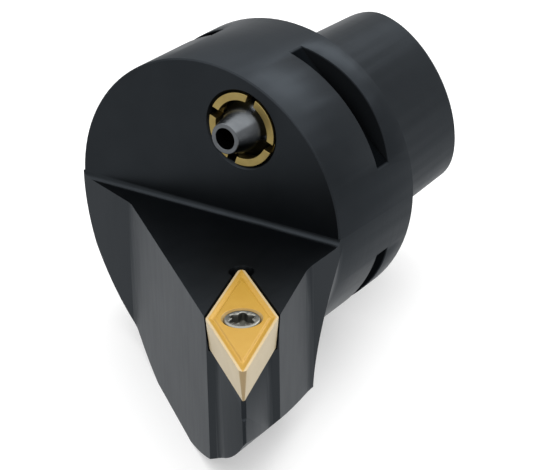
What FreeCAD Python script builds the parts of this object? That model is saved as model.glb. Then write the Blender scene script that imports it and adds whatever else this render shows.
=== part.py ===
import FreeCAD, Part
import math
import os

# Modular turning head: a polygonal taper shank and flange, a beak that carries a
# 35 degree insert, and an adjustable ball nozzle for coolant. Millimetres.
#
# The tool axis is Y: the shank points along +Y and the beak along -Y. Z is up, square
# to the rake face, and +X is the side that the cutting corner leans to. The origin is
# the centre of the flange face that seats on the machine's coupling. "Forward" is a
# distance in front of that face, "side" a distance along +X.

# Coupling: polygonal taper, size 32
FLANGE_DIA = 32.0
FLANGE_BACK_CHAMFER = 0.5
SHANK_LENGTH = 19.4
SHANK_END_CHAMFER = 0.8
SHANK_CHAMFER_ANGLE = 30.0
POLYGON_MEAN_DIA = 22.0
POLYGON_ECCENTRICITY = 0.72
POLYGON_TAPER = 20.0
POLYGON_LOBE_ANGLE = 90.0
POLYGON_POINTS = 36

# Bore through the shank: clamping segments grip its groove, or a bolt its thread
CLAMP_BORE_DIA = 15.0
CLAMP_BORE_LENGTH = 15.4
CLAMP_BORE_CHAMFER = 0.7
CLAMP_GROOVE_DIA = 17.0
CLAMP_GROOVE_WIDTH = 3.6
CLAMP_GROOVE_POSITION = 9.0
DRAW_THREAD_MINOR_DIA = 10.4
DRAW_THREAD_LENGTH = 11.0
DRILL_POINT_ANGLE = 118.0

# Gripper grooves milled straight across the flange's rim
GRIPPER_GROOVES = 4
GRIPPER_GROOVE_FIRST = 45.0
GRIPPER_GROOVE_POSITION = 4.3
GRIPPER_GROOVE_FLOOR = 2.2
GRIPPER_GROOVE_DEPTH = 1.85
GRIPPER_GROOVE_SLOPE = 30.0

# Head: front face, shelf in the rake plane, and the off-centre cylinder that the beak
# is cut from, with its flat underside and the hollow neck into the flange
FRONT_FACE = 14.8
FRONT_RIM_CHAMFER = 0.15
SHELF_ROOT_RADIUS = 0.6
BLANK_DIA = 42.0
BLANK_OFFSET_ANGLE = 44.0
UNDERSIDE = 17.0
NECK_START = 14.0
NECK_RADIUS = 5.8

# The cutting corner's reach from the flange face, and past the flange's side
FUNCTIONAL_LENGTH = 40.0
CORNER_OVERHANG = 6.0
TOOL_ANGLE = 35.0

# Insert: 35 degree rhombus with 5 degrees of relief
INSERT_CIRCLE = 6.35
INSERT_THICKNESS = 3.18
INSERT_CORNER_ANGLE = 35.0
INSERT_CORNER_RADIUS = 0.4
INSERT_LEAST_RADIUS = 0.1
INSERT_RELIEF = 5.0
INSERT_HOLE_DIA = 2.85
INSERT_SINK_DIA = 3.85
INSERT_SINK_ANGLE = 60.0
CHIP_LAND = 0.2
CHIP_GROOVE_DEPTH = 0.12
CHIP_GROOVE_SLOPE = 0.45
CHIP_GROOVE_RISE = 0.2

# Beak sides: each runs back in line with one cutting edge of the insert, and steps in
# beneath the insert's front half
LEFT_SIDE_LENGTH = 26.4
LEFT_SHOULDER_ANGLE = 18.0
LEFT_WAIST_RADIUS = 4.0
RIGHT_WAIST_RADIUS = 6.0
STEP_ANGLE = 22.0
STEP_RADIUS = 3.0
NOSE_SETBACK = 0.62
NOSE_EDGE_RADIUS = 0.2

# Flat under the cutting corner, down the nose's edge, and the cutter's run-out below it
NOSE_FLAT_WIDTH = 0.45
NOSE_FLAT_LENGTH = 2.9
NOSE_RUNOUT_RADIUS = 0.5

# Insert pocket and screw hole
POCKET_CLEARANCE = 0.04
POCKET_WALL_ANGLE = 9.0
POCKET_BACK_CLEARANCE = 0.83
POCKET_RELIEF_DIA = 2.5
POCKET_RELIEF_DEPTH = 0.3
SCREW_HOLE_CLEARANCE = 0.05
SCREW_HOLE_SPARE = 1.0

# Insert screw, M2.5 with a six-lobe socket
SCREW_DIA = 2.5
SCREW_LENGTH = 6.5
SCREW_HEAD_DIA = 3.4
SCREW_HEAD_RIM = 0.27
SCREW_HEAD_CLEARANCE = 0.03
SCREW_TIP_CHAMFER = 0.4
SOCKET_OUTER_DIA = 2.5
SOCKET_INNER_DIA = 1.8
SOCKET_DEPTH = 0.9
SOCKET_LOBES = 6

# Coolant nozzle: a ball with a tube, held by a slotted ring that screws into the front
NOZZLE_CLOCK_ANGLE = 65.113
NOZZLE_RIM_WALL = 1.107
NOZZLE_BALL_DIA = 7.0
NOZZLE_BALL_SETBACK = 3.0
NOZZLE_TUBE_DIA = 3.2
NOZZLE_TUBE_ROOT_DIA = 4.8
NOZZLE_REACH = 2.75
NOZZLE_BORE_DIA = 2.2
NOZZLE_INLET_DIA = 3.4
NOZZLE_TIP_CHAMFER = 0.12

RING_DIA = 7.7
RING_THICKNESS = 2.0
RING_MOUTH_DIA = 6.1
RING_SLOTS = 4
RING_SLOT_FIRST = -20.0
RING_SLOT_WIDTH = 0.95
RING_SLOT_DEPTH = 1.5
RING_CLEARANCE = 0.05
RING_MOUTH_CHAMFER = 0.3

# Seal behind the ball, and the duct that feeds it from the shank's bore
SEAL_SECTION_DIA = 1.0
SEAL_MEAN_DIA = 6.1
SEAL_SECTION_SIDES = 8
SEAL_CLEARANCE = 0.03
SEAL_FLOOR_LIP = 0.25
BALL_CLEARANCE = 0.06
BALL_SWING_CLEARANCE = 0.15
DUCT_DIA = 2.5
DUCT_ANGLE = 35.0
DUCT_LENGTH = 13.5

V = FreeCAD.Vector
TOOL_AXIS = V(0, 1, 0)
FORWARD = V(0, -1, 0)
UP = V(0, 0, 1)
OVERCUT = 1.0
TOUCHING = 1e-4


def at(forward, side, z=0.0):
    return V(side, -forward, z)


def sine(angle):
    return math.sin(math.radians(angle))


def cosine(angle):
    return math.cos(math.radians(angle))


def tangent(angle):
    return math.tan(math.radians(angle))


# Where the insert lies in plan, from the reach of its corner radius
FLANGE_RADIUS = FLANGE_DIA / 2
FUNCTIONAL_WIDTH = FLANGE_RADIUS + CORNER_OVERHANG
HALF_CORNER = INSERT_CORNER_ANGLE / 2
LEFT_EDGE = TOOL_ANGLE + HALF_CORNER
RIGHT_EDGE = TOOL_ANGLE - HALF_CORNER
LEFT_NORMAL = LEFT_EDGE - 90
RIGHT_NORMAL = RIGHT_EDGE + 90
INRADIUS = INSERT_CIRCLE / 2
OBTUSE_REACH = INRADIUS * tangent(HALF_CORNER)
CORNER_TO_CENTRE = (INRADIUS - INSERT_CORNER_RADIUS) / sine(HALF_CORNER)
INSERT_FORWARD = FUNCTIONAL_LENGTH - INSERT_CORNER_RADIUS - CORNER_TO_CENTRE * cosine(TOOL_ANGLE)
INSERT_SIDE = FUNCTIONAL_WIDTH - INSERT_CORNER_RADIUS - CORNER_TO_CENTRE * sine(TOOL_ANGLE)
INSERT_CENTRE = at(INSERT_FORWARD, INSERT_SIDE)
SCREW_SEAT_DROP = (INSERT_SINK_DIA - SCREW_HEAD_DIA) / 2 - SCREW_HEAD_CLEARANCE
SCREW_RIM = -SCREW_SEAT_DROP / tangent(INSERT_SINK_ANGLE / 2)
SCREW_TOP = SCREW_RIM + SCREW_HEAD_RIM
SCREW_HOLE_DIA = SCREW_DIA + 2 * SCREW_HOLE_CLEARANCE

# Where the nozzle's axis stands in the front face, and its pieces along it
RING_MOUTH_RADIUS = RING_DIA / 2 + RING_CLEARANCE
NOZZLE_ORBIT = FLANGE_RADIUS - NOZZLE_RIM_WALL - RING_MOUTH_CHAMFER - RING_MOUTH_RADIUS
NOZZLE_SIDE = NOZZLE_ORBIT * cosine(NOZZLE_CLOCK_ANGLE)
NOZZLE_HEIGHT = NOZZLE_ORBIT * sine(NOZZLE_CLOCK_ANGLE)
RING_BACK = FRONT_FACE - RING_THICKNESS
BALL_FORWARD = FRONT_FACE - NOZZLE_BALL_SETBACK
BALL_RADIUS = NOZZLE_BALL_DIA / 2
BALL_POCKET_RADIUS = (SEAL_MEAN_DIA + SEAL_SECTION_DIA) / 2 + SEAL_CLEARANCE
SEAL_REACH = BALL_RADIUS + SEAL_SECTION_DIA / 2 + SEAL_CLEARANCE
SEAL_FORWARD = BALL_FORWARD - math.sqrt(SEAL_REACH ** 2 - (SEAL_MEAN_DIA / 2) ** 2)
SEAL_FLOOR = SEAL_FORWARD - SEAL_SECTION_DIA / 2 - SEAL_CLEARANCE
BALL_SWING_RADIUS = (SEAL_MEAN_DIA - SEAL_SECTION_DIA) / 2 - SEAL_FLOOR_LIP
BALL_SWING_FLOOR = BALL_FORWARD - BALL_RADIUS - BALL_SWING_CLEARANCE


def revolved(outline, side=0.0, height=0.0):
    """Solid of revolution about a line parallel to the tool axis. The outline's points
    are (radius, forward), and one with a third value is the middle of an arc."""
    edges = []
    previous = None
    middle = None
    for item in outline + outline[:1]:
        point = at(item[1], side + item[0], height)
        if len(item) == 3:
            middle = point
            continue
        if previous is not None and middle is not None:
            edges.append(Part.Arc(previous, middle, point).toShape())
        elif previous is not None:
            edges.append(Part.makeLine(previous, point))
        previous = point
        middle = None
    face = Part.Face(Part.Wire(edges))
    return face.revolve(V(side, 0, height), TOOL_AXIS, 360)


def arc_point(radius, forward, size, angle):
    """Point on an arc of the given size about a centre, angle counted from outward
    towards forward, marked as the middle of an arc."""
    return (radius + size * cosine(angle), forward + size * sine(angle), "middle")


def plan_corners(lines, z):
    """Corners of an outline at height z. Each line is the angle of its outward normal,
    its distance from the insert's centre, and the relief that draws it in lower down."""
    corners = []
    for first, second in zip(lines, lines[1:] + lines[:1]):
        first_reach = first[1] + z * tangent(first[2])
        second_reach = second[1] + z * tangent(second[2])
        cross = sine(second[0] - first[0])
        forward = (first_reach * sine(second[0]) - second_reach * sine(first[0])) / cross
        side = (second_reach * cosine(first[0]) - first_reach * cosine(second[0])) / cross
        corners.append(at(INSERT_FORWARD + forward, INSERT_SIDE + side, z))
    return corners


def plan_prism(lines, bottom, top):
    """Solid between the outlines at two heights, with one flat side for each line."""
    wires = []
    for z in (bottom, top):
        corners = plan_corners(lines, z)
        wires.append(Part.makePolygon(corners + corners[:1]))
    return Part.makeLoft(wires, True, True)


def round_upright_edge(solid, corner, radius):
    """Round the upright edge that stands over a corner."""
    edges = []
    for edge in solid.Edges:
        low, high = edge.Vertexes[0].Point, edge.Vertexes[-1].Point
        upright = math.hypot(low.x - high.x, low.y - high.y) < TOUCHING < abs(low.z - high.z)
        if upright and math.hypot(low.x - corner.x, low.y - corner.y) < TOUCHING:
            edges.append(edge)
    return solid.makeFillet(radius, edges)


def turned_reach(angle, back):
    """Distance from the insert's centre to a line that is turned by an angle from the line
    of a cutting edge, about a point that lies a way back along it."""
    return INRADIUS * cosine(angle) - back * sine(angle)


def beak_sides():
    """Upright sides of the beak as one tall prism, from below the underside to just
    over the shelf's root radius. From the insert's side corners forward, each side turns
    in by a shallow step and then runs on beside the cutting edge, to the nose's edge."""
    shoulder = turned_reach(LEFT_SHOULDER_ANGLE, OBTUSE_REACH + LEFT_SIDE_LENGTH)
    step = turned_reach(STEP_ANGLE, OBTUSE_REACH)
    nose_side = INRADIUS - NOSE_SETBACK
    lines = [
        (LEFT_NORMAL + LEFT_SHOULDER_ANGLE, shoulder, 0),
        (LEFT_NORMAL, INRADIUS, 0),
        (LEFT_NORMAL + STEP_ANGLE, step, 0),
        (LEFT_NORMAL, nose_side, 0),
        (RIGHT_NORMAL, nose_side, 0),
        (RIGHT_NORMAL - STEP_ANGLE, step, 0),
        (RIGHT_NORMAL, INRADIUS, 0),
        (90, FLANGE_RADIUS - INSERT_SIDE, 0),
        (180, INSERT_FORWARD - FRONT_FACE / 2, 0),
        (270, INSERT_SIDE + BLANK_DIA, 0),
    ]
    # Each round lies where the line of this number meets the next one
    rounds = {
        0: LEFT_WAIST_RADIUS,
        2: STEP_RADIUS,
        3: NOSE_EDGE_RADIUS,
        4: STEP_RADIUS,
        6: RIGHT_WAIST_RADIUS,
    }
    prism = plan_prism(lines, -UNDERSIDE - OVERCUT, SHELF_ROOT_RADIUS)
    corners = plan_corners(lines, 0)
    for line, radius in rounds.items():
        prism = round_upright_edge(prism, corners[line], radius)
    return prism


def nose_flat():
    """What the cutter removes for the flat: a box in front of the nose's edge, rounded
    along the bottom of the flat where the cutter runs out."""
    edge_reach = (INRADIUS - NOSE_SETBACK) / sine(HALF_CORNER)
    reach = edge_reach - NOSE_FLAT_WIDTH / 2 / tangent(HALF_CORNER)
    bottom = -INSERT_THICKNESS - NOSE_FLAT_LENGTH
    width = INSERT_CIRCLE
    box = Part.makeBox(edge_reach, width, OVERCUT - bottom, V(reach, -width / 2, bottom))
    run_out = []
    for edge in box.Edges:
        middle = edge.CenterOfMass
        if abs(middle.x - reach) < TOUCHING and abs(middle.z - bottom) < TOUCHING:
            run_out.append(edge)
    box = box.makeFillet(NOSE_RUNOUT_RADIUS, run_out)
    box.rotate(V(0, 0, 0), UP, TOOL_ANGLE - 90)
    box.translate(INSERT_CENTRE)
    return box


def blank():
    """The cylinder that the beak is cut from. It lies off the tool axis and touches the
    flange's cylinder along one line, and a hollow neck joins the two."""
    offset = (BLANK_DIA - FLANGE_DIA) / 2
    side = offset * cosine(BLANK_OFFSET_ANGLE)
    height = offset * sine(BLANK_OFFSET_ANGLE)
    start = FRONT_FACE / 2
    length = FUNCTIONAL_LENGTH - start
    cylinder = Part.makeCylinder(BLANK_DIA / 2, length, at(start, side, height), FORWARD)
    neck_top = FLANGE_RADIUS + NECK_RADIUS
    neck = revolved([
        (0, start),
        (FLANGE_RADIUS, start),
        (FLANGE_RADIUS, NECK_START),
        arc_point(neck_top, NECK_START, NECK_RADIUS, 135),
        (neck_top, NECK_START + NECK_RADIUS),
        (BLANK_DIA, NECK_START + NECK_RADIUS),
        (BLANK_DIA, FUNCTIONAL_LENGTH),
        (0, FUNCTIONAL_LENGTH),
    ])
    above = Part.makeBox(2 * BLANK_DIA, length, 2 * BLANK_DIA, V(-BLANK_DIA, -start - length, -UNDERSIDE))
    return cylinder.common(neck).common(above)


def flange():
    return revolved([
        (0, 0),
        (FLANGE_RADIUS - FLANGE_BACK_CHAMFER, 0),
        (FLANGE_RADIUS, FLANGE_BACK_CHAMFER),
        (FLANGE_RADIUS, FRONT_FACE - FRONT_RIM_CHAMFER),
        (FLANGE_RADIUS - FRONT_RIM_CHAMFER, FRONT_FACE),
        (0, FRONT_FACE),
    ])


def polygon_wire(mean_dia, forward):
    """Three-lobed polygon: a circle whose reach swings by the eccentricity three times
    a turn, with the tangent term that keeps its sides true."""
    points = []
    for i in range(POLYGON_POINTS):
        turn = 360.0 * i / POLYGON_POINTS
        reach = mean_dia / 2 + POLYGON_ECCENTRICITY * cosine(3 * turn)
        slide = -3 * POLYGON_ECCENTRICITY * sine(3 * turn)
        side = reach * cosine(turn + POLYGON_LOBE_ANGLE) - slide * sine(turn + POLYGON_LOBE_ANGLE)
        height = reach * sine(turn + POLYGON_LOBE_ANGLE) + slide * cosine(turn + POLYGON_LOBE_ANGLE)
        points.append(at(forward, side, height))
    curve = Part.BSplineCurve()
    curve.interpolate(points, PeriodicFlag=True)
    return Part.Wire([curve.toShape()])


def shank():
    taper_length = SHANK_LENGTH - SHANK_END_CHAMFER
    small_dia = POLYGON_MEAN_DIA - taper_length / POLYGON_TAPER
    end_dia = small_dia - 2 * SHANK_END_CHAMFER * tangent(SHANK_CHAMFER_ANGLE)
    small = polygon_wire(small_dia, -taper_length)
    taper = Part.makeLoft([polygon_wire(POLYGON_MEAN_DIA, 0), small], True, True)
    end = Part.makeLoft([small, polygon_wire(end_dia, -SHANK_LENGTH)], True, True)
    return taper.fuse(end)


def shank_bore():
    """Clamping bore with its groove, then the draw thread's bore and its drill point."""
    bore = CLAMP_BORE_DIA / 2
    groove = CLAMP_GROOVE_DIA / 2
    thread = DRAW_THREAD_MINOR_DIA / 2
    mouth = -SHANK_LENGTH
    shoulder = mouth + CLAMP_BORE_LENGTH
    groove_start = mouth + CLAMP_GROOVE_POSITION
    thread_end = shoulder + DRAW_THREAD_LENGTH
    return revolved([
        (0, mouth - OVERCUT),
        (bore + CLAMP_BORE_CHAMFER, mouth - OVERCUT),
        (bore + CLAMP_BORE_CHAMFER, mouth),
        (bore, mouth + CLAMP_BORE_CHAMFER),
        (bore, groove_start),
        (groove, groove_start),
        (groove, groove_start + CLAMP_GROOVE_WIDTH),
        (bore, groove_start + CLAMP_GROOVE_WIDTH),
        (bore, shoulder),
        (thread, shoulder),
        (thread, thread_end),
        (0, thread_end + thread / tangent(DRILL_POINT_ANGLE / 2)),
    ])


def gripper_grooves():
    """Straight grooves with a square wall in front and a sloping wall behind."""
    floor = FLANGE_RADIUS - GRIPPER_GROOVE_DEPTH
    top = FLANGE_RADIUS + OVERCUT
    front = GRIPPER_GROOVE_POSITION + GRIPPER_GROOVE_FLOOR
    slope = (top - floor) * tangent(GRIPPER_GROOVE_SLOPE)
    section = [
        at(GRIPPER_GROOVE_POSITION, floor, -FLANGE_RADIUS),
        at(front, floor, -FLANGE_RADIUS),
        at(front, top, -FLANGE_RADIUS),
        at(GRIPPER_GROOVE_POSITION - slope, top, -FLANGE_RADIUS),
    ]
    groove = Part.Face(Part.makePolygon(section + section[:1])).extrude(UP * FLANGE_DIA)
    grooves = []
    for i in range(GRIPPER_GROOVES):
        copy = groove.copy()
        copy.rotate(V(0, 0, 0), TOOL_AXIS, -GRIPPER_GROOVE_FIRST - 360.0 * i / GRIPPER_GROOVES)
        grooves.append(copy)
    return grooves


def above_shelf():
    """Space in front of the front face and over the rake plane, with a rounded root."""
    reach = FUNCTIONAL_LENGTH + OVERCUT - FRONT_FACE
    box = Part.makeBox(2 * BLANK_DIA, reach, BLANK_DIA, V(-BLANK_DIA, -FRONT_FACE - reach, 0))
    roots = []
    for edge in box.Edges:
        middle = edge.CenterOfMass
        if abs(middle.z) < TOUCHING and abs(middle.y + FRONT_FACE) < TOUCHING:
            roots.append(edge)
    return box.makeFillet(SHELF_ROOT_RADIUS, roots)


def insert_pocket():
    """Seat and two walls for the insert's back half, open in front, with the round
    relief that clears the insert's back corner. The walls lean back more than the
    insert's flanks, so they come nearest to it at the seat."""
    lean = tangent(POCKET_WALL_ANGLE) - tangent(INSERT_RELIEF)
    wall = INRADIUS + POCKET_CLEARANCE + INSERT_THICKNESS * lean
    back = CORNER_TO_CENTRE
    lines = [
        (LEFT_NORMAL + 180, wall, POCKET_WALL_ANGLE),
        (TOOL_ANGLE + 180, back + POCKET_BACK_CLEARANCE, 0),
        (RIGHT_NORMAL + 180, wall, POCKET_WALL_ANGLE),
        (TOOL_ANGLE, FUNCTIONAL_LENGTH, 0),
    ]
    pocket = plan_prism(lines, -INSERT_THICKNESS, SHELF_ROOT_RADIUS)
    floor = -INSERT_THICKNESS - POCKET_RELIEF_DEPTH
    centre = at(
        INSERT_FORWARD - back * cosine(TOOL_ANGLE),
        INSERT_SIDE - back * sine(TOOL_ANGLE),
        floor,
    )
    relief = Part.makeCylinder(POCKET_RELIEF_DIA / 2, -floor + OVERCUT, centre, UP)
    return pocket.fuse(relief)


def screw_hole():
    bottom = SCREW_TOP - SCREW_LENGTH - SCREW_HOLE_SPARE
    radius = SCREW_HOLE_DIA / 2
    hole = Part.makeCylinder(radius, -bottom, INSERT_CENTRE + UP * bottom, UP)
    point_depth = radius / tangent(DRILL_POINT_ANGLE / 2)
    point = Part.makeCone(0, radius, point_depth, INSERT_CENTRE + UP * (bottom - point_depth), UP)
    return hole.fuse(point)


def nozzle_socket():
    """Threaded mouth for the ring, the pocket behind it for the ball, the floor that the
    seal lies on, and a deeper middle where the tilting ball's back edge swings."""
    return revolved([
        (0, BALL_SWING_FLOOR),
        (BALL_SWING_RADIUS, BALL_SWING_FLOOR),
        (BALL_SWING_RADIUS, SEAL_FLOOR),
        (BALL_POCKET_RADIUS, SEAL_FLOOR),
        (BALL_POCKET_RADIUS, RING_BACK - RING_CLEARANCE),
        (RING_MOUTH_RADIUS, RING_BACK - RING_CLEARANCE),
        (RING_MOUTH_RADIUS, FRONT_FACE - RING_MOUTH_CHAMFER),
        (RING_MOUTH_RADIUS + RING_MOUTH_CHAMFER, FRONT_FACE),
        (RING_MOUTH_RADIUS + RING_MOUTH_CHAMFER, FRONT_FACE + OVERCUT),
        (0, FRONT_FACE + OVERCUT),
    ], NOZZLE_SIDE, NOZZLE_HEIGHT)


def coolant_duct():
    """Drilling that slants from the ball's pocket down into the shank's bore."""
    inward = sine(DUCT_ANGLE) / NOZZLE_ORBIT
    start = at(BALL_SWING_FLOOR, NOZZLE_SIDE, NOZZLE_HEIGHT)
    course = V(-NOZZLE_SIDE * inward, cosine(DUCT_ANGLE), -NOZZLE_HEIGHT * inward)
    lead = course * -DUCT_DIA
    return Part.makeCylinder(DUCT_DIA / 2, DUCT_LENGTH + DUCT_DIA, start + lead, course)


def head_body():
    beak = beak_sides().common(blank())
    body = flange().fuse([beak, shank()])
    cuts = [above_shelf(), nose_flat(), insert_pocket(), screw_hole()]
    cuts += [shank_bore(), nozzle_socket(), coolant_duct()]
    return body.cut(cuts + gripper_grooves()).removeSplitter()


def insert_wire(inset, z):
    """Rhombus with rounded corners, drawn in by an inset."""
    reach = INRADIUS - inset
    corner = max(INSERT_CORNER_RADIUS - inset, INSERT_LEAST_RADIUS)
    normals = [LEFT_NORMAL, RIGHT_NORMAL, LEFT_NORMAL + 180, RIGHT_NORMAL + 180, LEFT_NORMAL + 360]
    arcs = []
    for first, second in zip(normals, normals[1:]):
        middle = (first + second) / 2
        away = (reach - corner) / cosine((second - first) / 2)
        centre = INSERT_CENTRE + at(away * cosine(middle), away * sine(middle), z)
        arcs.append([centre + at(corner * cosine(a), corner * sine(a)) for a in (first, middle, second)])
    edges = []
    for arc, following in zip(arcs, arcs[1:] + arcs[:1]):
        edges.append(Part.Arc(*arc).toShape())
        edges.append(Part.makeLine(arc[-1], following[0]))
    return Part.Wire(edges)


def cutting_insert():
    draw_in = INSERT_THICKNESS * tangent(INSERT_RELIEF)
    body = Part.makeLoft([insert_wire(draw_in, -INSERT_THICKNESS), insert_wire(0, 0)], True, True)
    deepest = CHIP_LAND + CHIP_GROOVE_SLOPE
    inner = deepest + CHIP_GROOVE_RISE
    dish = Part.makeLoft([insert_wire(deepest, -CHIP_GROOVE_DEPTH), insert_wire(CHIP_LAND, 0)], True, True)
    island = Part.makeLoft([insert_wire(deepest, -CHIP_GROOVE_DEPTH), insert_wire(inner, 0)], True, True)
    hole = INSERT_HOLE_DIA / 2
    mouth = INSERT_SINK_DIA / 2
    sink = (mouth - hole) / tangent(INSERT_SINK_ANGLE / 2)
    through = Part.makeCylinder(hole, INSERT_THICKNESS, INSERT_CENTRE - UP * INSERT_THICKNESS, UP)
    countersink = Part.makeCone(hole, mouth, sink, INSERT_CENTRE - UP * sink, UP)
    return body.cut(dish.cut(island)).cut([through, countersink])


def lobed_wire(z):
    """Six-lobe socket outline: for each lobe one arc over its tip and one through the
    flute beside it, which meet halfway between the two diameters."""
    lobe = SOCKET_OUTER_DIA / 2
    flute = SOCKET_INNER_DIA / 2
    between = (lobe + flute) / 2
    quarter = 90.0 / SOCKET_LOBES
    reaches = [between, lobe, between, flute]
    points = []
    for i in range(4 * SOCKET_LOBES):
        turn = quarter * (i - 1)
        reach = reaches[i % 4]
        points.append(INSERT_CENTRE + V(reach * cosine(turn), reach * sine(turn), z))
    points.append(points[0])
    arcs = [Part.Arc(*points[i:i + 3]).toShape() for i in range(0, 4 * SOCKET_LOBES, 2)]
    return Part.Wire(arcs)


def insert_screw():
    """Countersunk screw whose cone follows the insert's countersink at a clearance."""
    head = SCREW_HEAD_DIA / 2
    shaft = SCREW_DIA / 2
    slope = tangent(INSERT_SINK_ANGLE / 2)
    neck = SCREW_RIM - (head - shaft) / slope
    tip = SCREW_TOP - SCREW_LENGTH
    outline = [
        (0, SCREW_TOP),
        (head, SCREW_TOP),
        (head, SCREW_RIM),
        (shaft, neck),
        (shaft, tip + SCREW_TIP_CHAMFER),
        (shaft - SCREW_TIP_CHAMFER, tip),
        (0, tip),
    ]
    points = [INSERT_CENTRE + V(r, 0, z) for r, z in outline]
    face = Part.Face(Part.makePolygon(points + points[:1]))
    screw = face.revolve(INSERT_CENTRE, UP, 360)
    socket = Part.Face(lobed_wire(SCREW_TOP - SOCKET_DEPTH)).extrude(UP * (SOCKET_DEPTH + OVERCUT))
    return screw.cut(socket)


def ball_reach(radius, clearance=0.0):
    """How far forward of the ball's centre its surface lies at a radius."""
    return math.sqrt((BALL_RADIUS + clearance) ** 2 - radius ** 2)


def nozzle_ring():
    """Slotted ring: a straight mouth in front, and a round seat that holds the ball."""
    outer = RING_DIA / 2
    mouth = RING_MOUTH_DIA / 2
    seat_size = BALL_RADIUS + BALL_CLEARANCE
    seat_front = BALL_FORWARD + ball_reach(mouth, BALL_CLEARANCE)
    back_angle = math.degrees(math.asin((RING_BACK - BALL_FORWARD) / seat_size))
    front_angle = math.degrees(math.asin((seat_front - BALL_FORWARD) / seat_size))
    ring = revolved([
        (seat_size * cosine(back_angle), RING_BACK),
        (outer, RING_BACK),
        (outer, FRONT_FACE),
        (mouth, FRONT_FACE),
        (mouth, seat_front),
        arc_point(0, BALL_FORWARD, seat_size, (back_angle + front_angle) / 2),
    ], NOZZLE_SIDE, NOZZLE_HEIGHT)
    slots = []
    for i in range(RING_SLOTS):
        corner = at(FRONT_FACE + OVERCUT, NOZZLE_SIDE, NOZZLE_HEIGHT - RING_SLOT_WIDTH / 2)
        slot = Part.makeBox(RING_DIA, RING_SLOT_DEPTH + OVERCUT, RING_SLOT_WIDTH, corner)
        slot.rotate(V(NOZZLE_SIDE, 0, NOZZLE_HEIGHT), TOOL_AXIS, -RING_SLOT_FIRST - 360.0 * i / RING_SLOTS)
        slots.append(slot)
    return ring.cut(slots)


def coolant_nozzle():
    """Ball with a tapered tube in front, drilled through, and a wide inlet behind."""
    tip = FRONT_FACE + NOZZLE_REACH
    tube = NOZZLE_TUBE_DIA / 2
    root = NOZZLE_TUBE_ROOT_DIA / 2
    bore = NOZZLE_BORE_DIA / 2
    inlet = NOZZLE_INLET_DIA / 2
    back = BALL_FORWARD - ball_reach(inlet)
    root_forward = BALL_FORWARD + ball_reach(root)
    return revolved([
        (bore, tip),
        (tube - NOZZLE_TIP_CHAMFER, tip),
        (tube, tip - NOZZLE_TIP_CHAMFER),
        (root, root_forward),
        arc_point(0, BALL_FORWARD, BALL_RADIUS, 0),
        (inlet, back),
        (bore, back + inlet - bore),
    ], NOZZLE_SIDE, NOZZLE_HEIGHT)


def nozzle_seal():
    """O-ring between the ball and the floor of its pocket. Its section has flats, as it
    is squeezed from all sides."""
    reach = SEAL_SECTION_DIA / 2
    step = 360.0 / SEAL_SECTION_SIDES
    section = []
    for i in range(SEAL_SECTION_SIDES):
        angle = step * i
        section.append((SEAL_MEAN_DIA / 2 + reach * cosine(angle), SEAL_FORWARD + reach * sine(angle)))
    return revolved(section, NOZZLE_SIDE, NOZZLE_HEIGHT)


def main():
    os.makedirs("parts", exist_ok=True)
    pieces = {
        "head_body": head_body(),
        "cutting_insert": cutting_insert(),
        "insert_screw": insert_screw(),
        "nozzle_ring": nozzle_ring(),
        "coolant_nozzle": coolant_nozzle(),
        "nozzle_seal": nozzle_seal(),
    }
    for name, shape in pieces.items():
        shape.exportStep("parts/" + name + ".step")


main()
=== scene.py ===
"""Looks of a turning head for a lathe: black oxide steel, a coated carbide insert, and a
coolant nozzle in a brass ring, on a pale studio floor. Metres; shapes are worked out in
millimetres and scaled once, where their mesh is made."""

import math

import bmesh
import bpy
import numpy as np
from mathutils import Matrix, Vector


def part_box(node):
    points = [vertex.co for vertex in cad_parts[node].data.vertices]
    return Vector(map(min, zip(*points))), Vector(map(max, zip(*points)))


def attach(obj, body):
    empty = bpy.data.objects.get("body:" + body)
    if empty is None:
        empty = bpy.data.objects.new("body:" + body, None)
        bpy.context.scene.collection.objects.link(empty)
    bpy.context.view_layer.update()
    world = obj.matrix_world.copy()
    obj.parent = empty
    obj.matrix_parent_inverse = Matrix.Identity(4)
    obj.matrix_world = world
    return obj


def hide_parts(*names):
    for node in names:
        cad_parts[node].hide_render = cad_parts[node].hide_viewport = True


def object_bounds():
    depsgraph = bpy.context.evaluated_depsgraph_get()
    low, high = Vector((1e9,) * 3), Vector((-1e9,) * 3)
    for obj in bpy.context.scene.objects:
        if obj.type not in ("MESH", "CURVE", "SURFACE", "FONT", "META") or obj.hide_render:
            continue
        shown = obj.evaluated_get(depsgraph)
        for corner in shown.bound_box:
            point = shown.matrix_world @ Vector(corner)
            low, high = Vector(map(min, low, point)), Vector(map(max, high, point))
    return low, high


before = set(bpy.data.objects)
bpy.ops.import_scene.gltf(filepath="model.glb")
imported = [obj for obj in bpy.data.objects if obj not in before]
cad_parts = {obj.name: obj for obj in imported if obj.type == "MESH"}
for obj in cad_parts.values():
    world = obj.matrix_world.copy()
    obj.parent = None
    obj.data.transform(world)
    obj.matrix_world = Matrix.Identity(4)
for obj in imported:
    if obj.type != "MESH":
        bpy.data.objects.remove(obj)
cad_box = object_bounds()

MM = 0.001
TURN = 2 * np.pi

# Camera: where it stands in the object's frame, and how it is turned
CAMERA_PLACE_MM = (100.779, -151.426, 79.255)
CAMERA_HEADING = math.radians(34.245)
CAMERA_DOWN = math.radians(25.887)
CAMERA_ROLL = math.radians(-0.914)
CAMERA_LENS = 122.42
CAMERA_SENSOR = 36.0

# Studio: light from the surround, and what the floor adds where it is seen and mirrored
SURROUND_LEVEL = 0.4
FLOOR_LIFT = 0.42
FLOOR_GLOW = 0.9
FLOOR_REACH = 0.4

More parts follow.
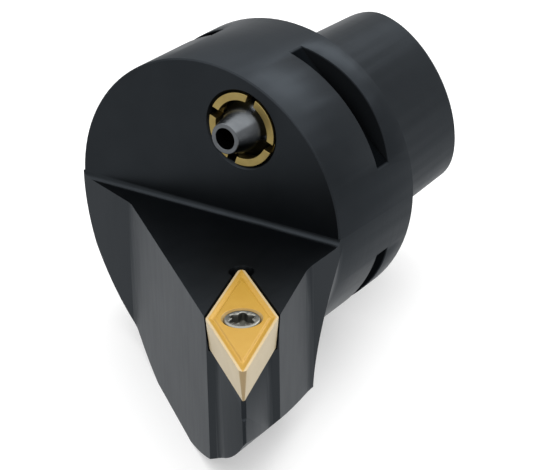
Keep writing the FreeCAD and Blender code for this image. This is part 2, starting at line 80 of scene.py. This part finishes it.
# Head: where its finish changes and where its grooves lie, along its axis and out from it, and how much
# painted shade darkens the grooves
HEAD_FRONT = -14.8
GROOVED_MIDDLE = -3.5
GROOVED_HALF = 3.45
GROOVED_SKIN = 15.9
GROOVE_PAINTED_SHADE = 0.75
FINISH_BLEND = 0.05
EDGE_BREAK = 0.1
RING_EDGE_BREAK = 0.05

# Insert, as on its drawing
INSERT_CORNER_ANGLE = math.radians(35.0)
INSERT_TOOL_ANGLE = math.radians(35.0)
INSERT_INRADIUS = 3.175
INSERT_THICKNESS = 3.18
INSERT_CORNER_RADIUS = 0.4
INSERT_LEAST_RADIUS = 0.1
INSERT_RELIEF = math.radians(5.0)
INSERT_HOLE_RADIUS = 1.425
INSERT_SINK_RADIUS = 1.925
INSERT_SINK_SLOPE = math.tan(math.radians(30.0))
HOLE_BREAK = 0.12
SEAT_BREAK = 0.06
EDGE_HONE = 0.035
CHIP_LAND = 0.24
CHIP_GROOVE_WIDTH = 0.45
CHIP_GROOVE_DEPTH = 0.12
CHIP_GROOVE_RISE = 0.2
LAND_PALE = 0.75

# Screw
SCREW_RADIUS = 1.25
SCREW_HEAD_RADIUS = 1.7
SCREW_HEAD_RIM = 0.27
SCREW_PITCH = 0.45
SCREW_THREAD_DEPTH = 0.22
SOCKET_MEAN_RADIUS = 1.075
SOCKET_SWING = 0.175
SOCKET_DEPTH = 0.9
SOCKET_LOBES = 6

# Nozzle
BALL_RADIUS = 3.5
TUBE_TIP_RADIUS = 1.6
TUBE_ROOT_RADIUS = 2.4
TUBE_BORE_RADIUS = 1.1
INLET_RADIUS = 1.7
TIP_ROUND = 0.12
BORE_BREAK = 0.08


def box_mm(node):
    low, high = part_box(node)
    return np.array(low) / MM, np.array(high) / MM


SCREW_LOW, SCREW_HIGH = box_mm("insert_screw")
INSERT_TOP = box_mm("cutting_insert")[1][2]
BALL_LOW, BALL_HIGH = box_mm("coolant_nozzle")
INSERT_CENTRE = np.append((SCREW_LOW + SCREW_HIGH)[:2] / 2, INSERT_TOP)
NOZZLE_CENTRE = (BALL_LOW + BALL_HIGH) / 2
NOZZLE_CENTRE[1] = BALL_HIGH[1] - math.sqrt(BALL_RADIUS ** 2 - INLET_RADIUS ** 2)


def smooth_piece(name, points, material, body, node, sharp=math.radians(32)):
    """Mesh from rings of points (ring, place around, xyz) in millimetres. Each ring closes
    on itself, rings that shrink to a point close as poles, and faces point outwards."""
    rings, around = points.shape[:2]
    index = np.arange(rings * around).reshape(rings, around)
    following = np.roll(index, -1, axis=1)
    quads = np.stack([index[:-1], following[:-1], following[1:], index[1:]], axis=-1)
    mesh = bpy.data.meshes.new(name)
    mesh.from_pydata((points.reshape(-1, 3) * MM).tolist(), [], quads.reshape(-1, 4).tolist())
    work = bmesh.new()
    work.from_mesh(mesh)
    bmesh.ops.remove_doubles(work, verts=work.verts, dist=1e-7)
    bmesh.ops.recalc_face_normals(work, faces=work.faces)
    work.to_mesh(mesh)
    work.free()
    mesh.shade_smooth()
    mesh.set_sharp_from_angle(angle=sharp)
    mesh.materials.append(material)
    piece = bpy.data.objects.new(name, mesh)
    bpy.context.scene.collection.objects.link(piece)
    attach(piece, body)
    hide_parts(node)
    return piece


def arc(centre, radius, start, end, count):
    """Points (across, along) on an arc, from one angle to another, in degrees."""
    turn = np.radians(np.linspace(start, end, count))
    return np.stack([centre[0] + radius * np.cos(turn), centre[1] + radius * np.sin(turn)], axis=-1)


def linear(colour):
    """sRGB hex to linear red, green, blue and alpha."""
    channels = np.array([int(colour[i:i + 2], 16) for i in (1, 3, 5)]) / 255
    low = channels / 12.92
    high = ((channels + 0.055) / 1.055) ** 2.4
    return [*np.where(channels <= 0.04045, low, high), 1.0]


def add(tree, kind, inputs=None, output=None, **settings):
    """Add a shader node, set its settings, and set or link its inputs. Gives the output
    that is named, or else the node."""
    made = tree.nodes.new("ShaderNode" + kind)
    for name, value in settings.items():
        setattr(made, name, value)
    for name, value in (inputs or {}).items():
        socket = made.inputs[name]
        if isinstance(value, bpy.types.NodeSocket):
            tree.links.new(value, socket)
        else:
            socket.default_value = value
    return made.outputs[output] if output else made


def new_material(name):
    """An empty material and its node tree."""
    material = bpy.data.materials.new(name)
    material.use_nodes = True
    material.node_tree.nodes.clear()
    return material, material.node_tree


def marks(tree, place, grain_mm, detail=3.0):
    """Pattern of tool marks, clouds or grit: noise whose grain has its own size along each
    axis, in millimetres."""
    scale = [1.0 / (size * MM) for size in grain_mm]
    scaled = add(tree, "Mapping", {"Vector": place, "Scale": scale}, "Vector")
    return add(tree, "TexNoise", {"Vector": scaled, "Scale": 1.0, "Detail": detail, "Roughness": 0.6}, "Fac")


def black_oxide_steel(name, dark, light):
    """Hardened tool steel, turned and milled, then blackened in hot oxide salts: a thin
    dark film that looks near black square on and takes a grey sheen at a low angle, over
    fine tool marks that still show through. The turned parts shine a little less than the
    milled beak. The gripper grooves carry painted shade: their colour and sheen are
    blackened so that they read as shadowed hollows."""
    material, tree = new_material(name)
    place = add(tree, "TexCoord", output="Object")
    turning = marks(tree, place, (9.0, 0.22, 9.0))
    milling = marks(tree, place, (0.5, 3.5, 6.0))
    cloud = marks(tree, place, (5.0, 5.0, 5.0), 2.0)
    grain = marks(tree, place, (0.16, 0.16, 0.16), 2.0)
    along = add(tree, "SeparateXYZ", {"Vector": place}, "Y")
    turned_part = add(tree, "MapRange", {
        "Value": along,
        "From Min": (HEAD_FRONT - FINISH_BLEND) * MM, "From Max": (HEAD_FRONT + FINISH_BLEND) * MM,
    }, "Result")
    across = add(tree, "VectorMath", {0: place, 1: (1.0, 0.0, 1.0)}, "Vector", operation="MULTIPLY")
    radius = add(tree, "VectorMath", {0: across}, "Value", operation="LENGTH")
    # Painted shade: below the skin inside the gripper grooves, colour and sheen go towards black
    groove_shade_under_skin = add(tree, "MapRange", {
        "Value": radius, "To Min": GROOVE_PAINTED_SHADE, "To Max": 0.0,
        "From Min": (GROOVED_SKIN - FINISH_BLEND) * MM, "From Max": (GROOVED_SKIN + FINISH_BLEND) * MM,
    }, "Result")
    grooved = add(tree, "Math", {0: along, 1: GROOVED_MIDDLE * MM, 2: GROOVED_HALF * MM}, "Value",
                  operation="COMPARE")
    groove_painted_shade = add(tree, "Math", {0: grooved, 1: groove_shade_under_skin}, "Value", operation="MULTIPLY")
    strokes = add(tree, "MixRGB", {"Fac": turned_part, "Color1": milling, "Color2": turning}, "Color")
    tone = add(tree, "MixRGB", {"Fac": cloud, "Color1": linear(dark), "Color2": linear(light)}, "Color")
    # Painted shade in the grooves: the colour is blackened there
    tone = add(tree, "MixRGB", {"Fac": groove_painted_shade, "Color1": tone, "Color2": linear("#000000")}, "Color")
    sheen = add(tree, "MixRGB", {
        "Fac": turned_part, "Color1": linear("#dee0e2"), "Color2": linear("#d0d2d4"),
    }, "Color")
    # Painted shade in the grooves: the sheen is blackened there
    sheen = add(tree, "MixRGB", {"Fac": groove_painted_shade, "Color1": sheen, "Color2": linear("#000000")}, "Color")
    satin = add(tree, "MapRange", {"Value": cloud, "To Min": 0.32, "To Max": 0.37}, "Result")
    rough = add(tree, "Math", {0: strokes, 1: 0.08, 2: satin}, "Value", operation="MULTIPLY_ADD")
    lines = add(tree, "Bump", {"Strength": 0.1, "Distance": 0.008 * MM, "Height": strokes}, "Normal")
    bump = add(tree, "Bump", {
        "Strength": 0.25, "Distance": 0.01 * MM, "Height": grain, "Normal": lines,
    }, "Normal")
    shader = add(tree, "BsdfPrincipled", {
        "Base Color": tone, "Metallic": 1.0, "Roughness": rough, "Specular Tint": sheen, "Normal": bump,
    }, "BSDF")
    add(tree, "OutputMaterial", {"Surface": shader})
    return material


def coated_carbide():
    """Sintered carbide under a titanium nitride coat: a warm satin gold on the rake face, a
    paler champagne on the ground flanks and the land, and a browner tone on the flank that faces the nose
    corner."""
    material, tree = new_material("titanium_nitride_carbide")
    coordinates = add(tree, "TexCoord")
    place = coordinates.outputs["Object"]
    facing = coordinates.outputs["Normal"]
    cloud = marks(tree, place, (1.6, 1.6, 1.6))
    grain = marks(tree, place, (0.12, 0.12, 0.12), 2.0)
    gold = add(tree, "MixRGB", {
        "Fac": cloud, "Color1": linear("#ab8020"), "Color2": linear("#b48d30"),
    }, "Color")
    champagne = add(tree, "MixRGB", {
        "Fac": cloud, "Color1": linear("#b5a480"), "Color2": linear("#c4b596"),
    }, "Color")

    corner_way = (math.sin(INSERT_TOOL_ANGLE), -math.cos(INSERT_TOOL_ANGLE), 0.0)
    to_corner = add(tree, "VectorMath", {0: facing, 1: corner_way}, "Value", operation="DOT_PRODUCT")
    corner = add(tree, "MapRange", {"Value": to_corner, "From Min": 0.4, "From Max": 0.7}, "Result")
    flank = add(tree, "MixRGB", {"Fac": corner, "Color1": champagne, "Color2": linear("#9c8660")}, "Color")

    from_centre = add(tree, "VectorMath", {0: place, 1: Vector(INSERT_CENTRE) * MM}, "Vector",
                      operation="SUBTRACT")
    reaches = []
    for half in (INSERT_CORNER_ANGLE / 2, -INSERT_CORNER_ANGLE / 2):
        lean = INSERT_TOOL_ANGLE + half
        edge_way = (math.cos(lean), math.sin(lean), 0.0)
        signed = add(tree, "VectorMath", {0: from_centre, 1: edge_way}, "Value", operation="DOT_PRODUCT")
        reaches.append(add(tree, "Math", {0: signed}, "Value", operation="ABSOLUTE"))
    reach = add(tree, "Math", {0: reaches[0], 1: reaches[1]}, "Value", operation="MAXIMUM")
    land_from = INSERT_INRADIUS - CHIP_LAND
    land = add(tree, "MapRange", {
        "Value": reach, "To Min": 0.0, "To Max": LAND_PALE,
        "From Min": (land_from - FINISH_BLEND) * MM, "From Max": (land_from + FINISH_BLEND) * MM,
    }, "Result")
    top = add(tree, "MixRGB", {"Fac": land, "Color1": gold, "Color2": champagne}, "Color")

    up = add(tree, "SeparateXYZ", {"Vector": facing}, "Z")
    rake = add(tree, "MapRange", {"Value": up, "From Min": 0.15, "From Max": 0.8}, "Result")
    tone = add(tree, "MixRGB", {"Fac": rake, "Color1": flank, "Color2": top}, "Color")
    bump = add(tree, "Bump", {"Strength": 0.3, "Distance": 0.006 * MM, "Height": grain}, "Normal")
    shader = add(tree, "BsdfPrincipled", {
        "Base Color": tone, "Metallic": 0.2, "Roughness": 0.42, "Normal": bump,
    }, "BSDF")
    add(tree, "OutputMaterial", {"Surface": shader})
    return material


def turned_metal(name, dark, light, grain_mm, least_rough, most_rough):
    """Metal turned on a lathe: fine rings round the axis that break up the highlight."""
    material, tree = new_material(name)
    place = add(tree, "TexCoord", output="Object")
    rings = marks(tree, place, grain_mm)
    cloud = marks(tree, place, (1.8, 1.8, 1.8), 2.0)
    tone = add(tree, "MixRGB", {"Fac": cloud, "Color1": linear(dark), "Color2": linear(light)}, "Color")
    rough = add(tree, "MapRange", {"Value": rings, "To Min": least_rough, "To Max": most_rough}, "Result")
    bump = add(tree, "Bump", {"Strength": 0.25, "Distance": 0.01 * MM, "Height": rings}, "Normal")
    shader = add(tree, "BsdfPrincipled", {
        "Base Color": tone, "Metallic": 1.0, "Roughness": rough, "Normal": bump,
    }, "BSDF")
    add(tree, "OutputMaterial", {"Surface": shader})
    return material


def seal_rubber():
    """Moulded nitrile rubber: soft black with a dull bloom."""
    material, tree = new_material("nitrile_rubber")
    place = add(tree, "TexCoord", output="Object")
    bloom = marks(tree, place, (0.8, 0.8, 0.8))
    tone = add(tree, "MixRGB", {
        "Fac": bloom, "Color1": linear("#0d0d0e"), "Color2": linear("#1b1b1c"),
    }, "Color")
    rough = add(tree, "MapRange", {"Value": bloom, "To Min": 0.5, "To Max": 0.7}, "Result")
    shader = add(tree, "BsdfPrincipled", {"Base Color": tone, "Roughness": rough}, "BSDF")
    add(tree, "OutputMaterial", {"Surface": shader})
    return material


def dress_cad_node(name, materials, edge_break=None):
    """Give a CAD node its finish. Its flats are joined to whole faces, and its edges are
    broken as a deburring brush would leave them, by a width in millimetres."""
    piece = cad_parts[name]
    piece.data.materials.clear()
    for material in materials:
        piece.data.materials.append(material)
    if edge_break:
        weld = piece.modifiers.new("weld", "WELD")
        weld.merge_threshold = 1e-6
        flats = piece.modifiers.new("flats", "DECIMATE")
        flats.decimate_type = "DISSOLVE"
        flats.angle_limit = math.radians(0.3)
        edges = piece.modifiers.new("edges", "BEVEL")
        edges.width = edge_break * MM
        edges.segments = 2
        edges.angle_limit = math.radians(28)
        edges.use_clamp_overlap = True
        edges.harden_normals = True
        edges.material = len(materials) - 1


def rhombus_ring(inset, height):
    """Outline of the insert drawn in by an inset: four straight edges, each followed by a
    corner arc. Corners keep their centres until the inset passes their radius."""
    corner = max(INSERT_CORNER_RADIUS - inset, INSERT_LEAST_RADIUS)
    reach = INSERT_INRADIUS - inset
    half = INSERT_CORNER_ANGLE / 2
    lean = INSERT_TOOL_ANGLE
    normals = np.array([lean + half - np.pi / 2, lean - half + np.pi / 2])
    normals = np.array([normals[0], normals[1], normals[0] + np.pi, normals[1] + np.pi, normals[0] + TURN])
    middles = (normals[:-1] + normals[1:]) / 2
    away = (reach - corner) / np.cos((normals[1:] - normals[:-1]) / 2)
    centres = away[:, None] * np.stack([np.cos(middles), np.sin(middles)], axis=-1)
    sweep = np.linspace(0, 1, 9)
    turn = normals[:-1, None] * (1 - sweep) + normals[1:, None] * sweep
    arcs = centres[:, None] + corner * np.stack([np.cos(turn), np.sin(turn)], axis=-1)
    share = np.linspace(0, 1, 26)[1:-1, None]
    following = np.roll(arcs, -1, axis=0)
    edges = arcs[:, None, -1] * (1 - share) + following[:, None, 0] * share
    plan = np.concatenate([arcs, edges], axis=1).reshape(-1, 2)
    forward, side = plan[:, 0], plan[:, 1]
    return np.stack([side, -forward, np.full_like(side, height)], axis=-1)


def hole_ring(radius, height):
    """Circle whose points lie in the same directions as the outline's."""
    outline = rhombus_ring(0.0, height)
    directions = outline[:, :2] / np.linalg.norm(outline[:, :2], axis=1, keepdims=True)
    return np.concatenate([directions * radius, outline[:, 2:]], axis=1)


def cutting_insert(material):
    """Insert: one closed skin of rings, up the hole, out over the countersink, the flat,
    the chip groove and the land, round the honed edge, down the relieved flank and back
    under the seat. The groove's fall and rise are half waves of a cosine, and the flank
    draws in by its depth times the tangent of the relief."""
    bottom = -INSERT_THICKNESS
    sink_depth = (INSERT_SINK_RADIUS - INSERT_HOLE_RADIUS) / INSERT_SINK_SLOPE
    groove_out = CHIP_LAND + CHIP_GROOVE_WIDTH
    island = groove_out + CHIP_GROOVE_RISE
    rings = [
        hole_ring(INSERT_HOLE_RADIUS + HOLE_BREAK, bottom),
        hole_ring(INSERT_HOLE_RADIUS, bottom + HOLE_BREAK),
        hole_ring(INSERT_HOLE_RADIUS, -sink_depth),
        hole_ring(INSERT_SINK_RADIUS - 0.04, -0.07),
        hole_ring(INSERT_SINK_RADIUS - 0.01, -0.025),
        hole_ring(INSERT_SINK_RADIUS + 0.03, 0.0),
        rhombus_ring(island + 0.05, 0.0),
    ]
    share = np.linspace(0, 1, 7)
    for s in share:
        fall = CHIP_GROOVE_DEPTH * (1 - np.cos(np.pi * s)) / 2
        rings.append(rhombus_ring(island - s * CHIP_GROOVE_RISE, -fall))
    for s in share[1:]:
        fall = CHIP_GROOVE_DEPTH * (1 + np.cos(np.pi * s)) / 2
        rings.append(rhombus_ring(groove_out - s * CHIP_GROOVE_WIDTH, -fall))
    for turn in np.radians(np.linspace(90, 0, 5)):
        inset = EDGE_HONE * (1 - np.cos(turn))
        rings.append(rhombus_ring(inset, -EDGE_HONE * (1 - np.sin(turn))))
    depth = INSERT_THICKNESS - EDGE_HONE
    slope = math.tan(INSERT_RELIEF)
    rings.append(rhombus_ring(depth * slope / 2, -EDGE_HONE - depth / 2))
    rings.append(rhombus_ring((INSERT_THICKNESS - SEAT_BREAK) * slope, bottom + SEAT_BREAK))
    rings.append(rhombus_ring(INSERT_THICKNESS * slope + SEAT_BREAK, bottom))
    rings.append(rings[0])
    points = np.stack(rings) + INSERT_CENTRE
    smooth_piece("insert_skin", points, material, "insert", "cutting_insert",
                 math.radians(24))


def insert_screw(material):
    """Screw: rings from the socket's floor up its lobed wall, over the head, down the cone
    and along the thread. The wall's radius is a mean plus a swing times the cosine of six
    times the angle, and the thread's follows a triangle wave of the pitch."""
    around = 120
    turn = np.linspace(0, TURN, around, endpoint=False)
    lobed = SOCKET_MEAN_RADIUS + SOCKET_SWING * np.cos(SOCKET_LOBES * turn)
    top = SCREW_HIGH[2]
    tip = SCREW_LOW[2]
    floor = top - SOCKET_DEPTH
    rim = top - SCREW_HEAD_RIM
    neck = rim - (SCREW_HEAD_RADIUS - SCREW_RADIUS) / INSERT_SINK_SLOPE
    socket = [
        (0.0, floor - 0.15), (0.5, floor - 0.08), (0.93, floor), (0.985, floor + 0.03),
        (1.0, floor + 0.1), (1.0, top - 0.06), (1.03, top - 0.02), (1.07, top),
    ]
    head = [
        (SCREW_HEAD_RADIUS - 0.3, top), (SCREW_HEAD_RADIUS - 0.16, top),
        (SCREW_HEAD_RADIUS - 0.1, top - 0.02), (SCREW_HEAD_RADIUS - 0.03, top - 0.08),
        (SCREW_HEAD_RADIUS, top - 0.16), (SCREW_HEAD_RADIUS, rim),
        (SCREW_RADIUS, neck), (SCREW_RADIUS, neck - 0.3),
    ]
    rows = [(lobed * share, height) for share, height in socket]
    rows += [(np.full(around, radius), height) for radius, height in head]
    thread_start = neck - 0.35
    for height in np.arange(thread_start, tip + 0.25, -SCREW_PITCH / 8):
        phase = height / SCREW_PITCH + turn / TURN
        wave = np.abs(2 * (phase - np.floor(phase)) - 1)
        start = np.clip((thread_start - height) / SCREW_PITCH, 0, 1)
        end = np.clip((height - tip) / 0.5, 0, 1)
        rows.append((SCREW_RADIUS - SCREW_THREAD_DEPTH * start * wave - (1 - end) * 0.15, height))
    rows.append((np.full(around, SCREW_RADIUS - 0.4), tip))
    rows.append((np.zeros(around), tip))
    points = np.stack([
        np.stack([radius * np.cos(turn), radius * np.sin(turn), np.full(around, height)], axis=-1)
        for radius, height in rows
    ])
    points[..., :2] += INSERT_CENTRE[:2]
    smooth_piece("screw_skin", points, material, "screw", "insert_screw")


def coolant_nozzle(material):
    """Nozzle: a profile of ball, tapered tube and bore, carried round a circle about its
    own axis. Places along the axis count from the ball's centre, forwards."""
    tip = NOZZLE_CENTRE[1] - BALL_LOW[1]
    root_turn = math.degrees(math.acos(TUBE_ROOT_RADIUS / BALL_RADIUS))
    inlet_turn = -math.degrees(math.acos(INLET_RADIUS / BALL_RADIUS))
    root = BALL_RADIUS * math.sin(math.radians(root_turn))
    back = BALL_RADIUS * math.sin(math.radians(inlet_turn))
    profile = np.concatenate([
        arc((0, 0), BALL_RADIUS, inlet_turn, root_turn - 4, 40),
        [(TUBE_ROOT_RADIUS - 0.04, root + 0.12)],
        [(TUBE_TIP_RADIUS + 0.01, tip - TIP_ROUND - 0.03)],
        arc((TUBE_TIP_RADIUS - TIP_ROUND, tip - TIP_ROUND), TIP_ROUND, 0, 90, 6),
        arc((TUBE_BORE_RADIUS + BORE_BREAK, tip - BORE_BREAK), BORE_BREAK, 90, 180, 4),
        [(TUBE_BORE_RADIUS, back + INLET_RADIUS - TUBE_BORE_RADIUS)],
        [(INLET_RADIUS, back)],
    ])
    radius, along = profile[:, :1], profile[:, 1:]
    turn = np.linspace(0, TURN, 96, endpoint=False)
    points = np.stack([radius * np.cos(turn), -along + 0 * turn, radius * np.sin(turn)], axis=-1)
    points += NOZZLE_CENTRE
    smooth_piece("nozzle_skin", points, material, "nozzle", "coolant_nozzle")


def seen_or_mirrored(tree):
    """1 for what the camera sees directly, through glass or in a mirroring surface."""
    path = add(tree, "LightPath")
    direct = add(tree, "Math", {
        0: path.outputs["Is Camera Ray"], 1: path.outputs["Is Transmission Ray"],
    }, "Value", operation="MAXIMUM")
    return add(tree, "Math", {0: direct, 1: path.outputs["Is Glossy Ray"]}, "Value", operation="MAXIMUM")


def studio():
    """Pale floor under the object and an even white surround. The floor keeps the object's
    shadow, which is fainter where the steel mirrors it, as in a light tent."""
    world = bpy.data.worlds.new("studio")
    bpy.context.scene.world = world
    world.use_nodes = True
    tree = world.node_tree
    tree.nodes.clear()
    level = add(tree, "MapRange", {
        "Value": seen_or_mirrored(tree), "To Min": SURROUND_LEVEL, "To Max": 1.0,
    }, "Result")
    sky = add(tree, "Background", {"Color": linear("#ffffff"), "Strength": level}, "Background")
    add(tree, "OutputWorld", {"Surface": sky})

    material, tree = new_material("white_floor")
    mirrored = add(tree, "LightPath", output="Is Glossy Ray")
    shade = add(tree, "MixRGB", {
        "Fac": mirrored, "Color1": linear("#d0d0d0"), "Color2": linear("#7a7a7a"),
    }, "Color")
    matt = add(tree, "BsdfDiffuse", {"Color": shade}, "BSDF")
    level = add(tree, "MapRange", {"Value": mirrored, "To Min": FLOOR_LIFT, "To Max": FLOOR_GLOW}, "Result")
    lit = add(tree, "Math", {0: seen_or_mirrored(tree), 1: level}, "Value", operation="MULTIPLY")
    lift = add(tree, "Emission", {"Color": linear("#ffffff"), "Strength": lit}, "Emission")
    add(tree, "OutputMaterial", {"Surface": add(tree, "AddShader", {0: matt, 1: lift}, "Shader")})
    mesh = bpy.data.meshes.new("floor")
    plan = FLOOR_REACH * np.array([(-1, -1), (1, -1), (1, 1), (-1, 1)])
    corners = [(x, y, cad_box[0].z) for x, y in plan.tolist()]
    mesh.from_pydata(corners, [], [(0, 1, 2, 3)])
    mesh.materials.append(material)
    floor = bpy.data.objects.new("floor", mesh)
    bpy.context.scene.collection.objects.link(floor)


def soft_lamp(name, place_mm, aim_mm, size_mm, watts):
    """Square area lamp at a place, turned to its aim."""
    data = bpy.data.lights.new(name, "AREA")
    data.size = size_mm * MM
    data.energy = watts
    lamp = bpy.data.objects.new(name, data)
    bpy.context.scene.collection.objects.link(lamp)
    lamp.location = Vector(place_mm) * MM
    lamp.rotation_mode = "QUATERNION"
    lamp.rotation_quaternion = (Vector(aim_mm) - Vector(place_mm)).to_track_quat("-Z", "Y")


def camera():
    data = bpy.data.cameras.new("camera")
    data.lens = CAMERA_LENS
    data.sensor_width = CAMERA_SENSOR
    data.clip_start = 0.01
    eye = bpy.data.objects.new("camera", data)
    bpy.context.scene.collection.objects.link(eye)
    turn = Matrix.Rotation(CAMERA_HEADING, 4, "Z") @ Matrix.Rotation(math.pi / 2 - CAMERA_DOWN, 4, "X")
    turn = turn @ Matrix.Rotation(CAMERA_ROLL, 4, "Z")
    eye.matrix_world = Matrix.Translation(Vector(CAMERA_PLACE_MM) * MM) @ turn
    bpy.context.scene.camera = eye


steel = black_oxide_steel("black_oxide_steel", "#212427", "#282b2e")
worn_steel = black_oxide_steel("worn_oxide_edge", "#33373b", "#4a4e52")
dress_cad_node("head_body", [steel, worn_steel], EDGE_BREAK)
brass = turned_metal("turned_brass", "#7a693e", "#9e8d59", (3.0, 0.05, 3.0), 0.3, 0.42)
dress_cad_node("nozzle_ring", [brass], RING_EDGE_BREAK)
dress_cad_node("nozzle_seal", [seal_rubber()])
cutting_insert(coated_carbide())
insert_screw(turned_metal("ground_screw_steel", "#646460", "#868680", (0.08, 0.08, 3.0), 0.25, 0.4))
coolant_nozzle(turned_metal("turned_stainless_steel", "#4b4e51", "#636669", (3.0, 0.06, 3.0), 0.18, 0.28))

studio()
soft_lamp("overhead_softbox", (0, -15, 500), (0, -15, 0), 1400, 9.2)
soft_lamp("back_softbox", (30, 450, 400), (0, -5, 10), 250, 0.9)
camera()

scene = bpy.context.scene
scene.view_settings.view_transform = "Standard"
